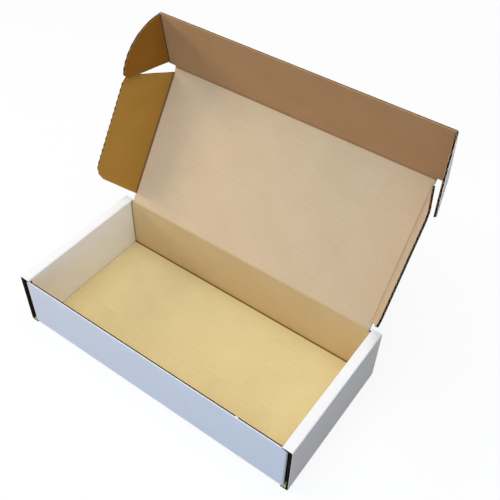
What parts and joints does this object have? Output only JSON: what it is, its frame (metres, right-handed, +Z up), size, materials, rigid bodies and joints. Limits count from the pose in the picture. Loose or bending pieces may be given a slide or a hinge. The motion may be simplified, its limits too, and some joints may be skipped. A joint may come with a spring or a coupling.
{
  "type": "corrugated mailer box",
  "caption": "Shallow mailer folded from one sheet of corrugated board, white outside and brown inside, with rolled side walls and a hinged lid with tuck flap, ears and dust flaps.",
  "frame": {"origin": "middle of the tray's underside, on the surface it stands on", "axes": "+Z up, +X along the length to the right seen from the front, +Y from the front to the lid's hinge"},
  "size_m": [0.3442, 0.2332, 0.2537],
  "materials": {
    "white_lined_board": "matte white liner outside",
    "kraft_board": "matte brown liner inside"
  },
  "bodies": {
    "tray": {"tray": "white_lined_board"},
    "lid": {"lid": "kraft_board"},
    "tuck_flap": {"tuck_flap": "kraft_board"},
    "left_dust_flap": {"left_dust_flap": "kraft_board"},
    "right_dust_flap": {"right_dust_flap": "kraft_board"},
    "left_ear": {"left_ear": "kraft_board"},
    "right_ear": {"right_ear": "kraft_board"}
  },
  "joints": [
    {"name": "lid_hinge", "type": "hinge", "parent": "tray", "child": "lid", "pos_m": [0, 0.07425, 0.06375], "axis": [-1, 0, 0], "range_deg": [-122.6, 57.4]},
    {"name": "tuck_flap_fold", "type": "hinge", "parent": "lid", "child": "tuck_flap", "pos_m": [0, 0.15647, 0.19231], "axis": [-1, 0, 0], "range_deg": [-2.5, 42]},
    {"name": "left_dust_flap_fold", "type": "hinge", "parent": "lid", "child": "left_dust_flap", "pos_m": [-0.1474, 0.11621, 0.12936], "axis": [0, -0.5388, -0.8425], "range_deg": [-56.9, 26.9]},
    {"name": "right_dust_flap_fold", "type": "hinge", "parent": "lid", "child": "right_dust_flap", "pos_m": [0.1474, 0.11621, 0.12936], "axis": [0, 0.5388, 0.8425], "range_deg": [-38.51, 18.29]},
    {"name": "left_ear_fold", "type": "hinge", "parent": "tuck_flap", "child": "left_ear", "pos_m": [-0.15595, 0.15128, 0.22363], "axis": [0, 0.1633, -0.9866], "range_deg": [-13.59, 28.45]},
    {"name": "right_ear_fold", "type": "hinge", "parent": "tuck_flap", "child": "right_ear", "pos_m": [0.15595, 0.15128, 0.22363], "axis": [0, -0.1633, 0.9866], "range_deg": [-11.52, 24.04]}
  ],
  "couplings": [
    {"joint": "left_dust_flap_fold", "follows": "lid_hinge", "ratio": 0.46},
    {"joint": "right_dust_flap_fold", "follows": "lid_hinge", "ratio": 0.31},
    {"joint": "left_ear_fold", "follows": "lid_hinge", "ratio": -0.228},
    {"joint": "right_ear_fold", "follows": "lid_hinge", "ratio": -0.192}
  ]
}
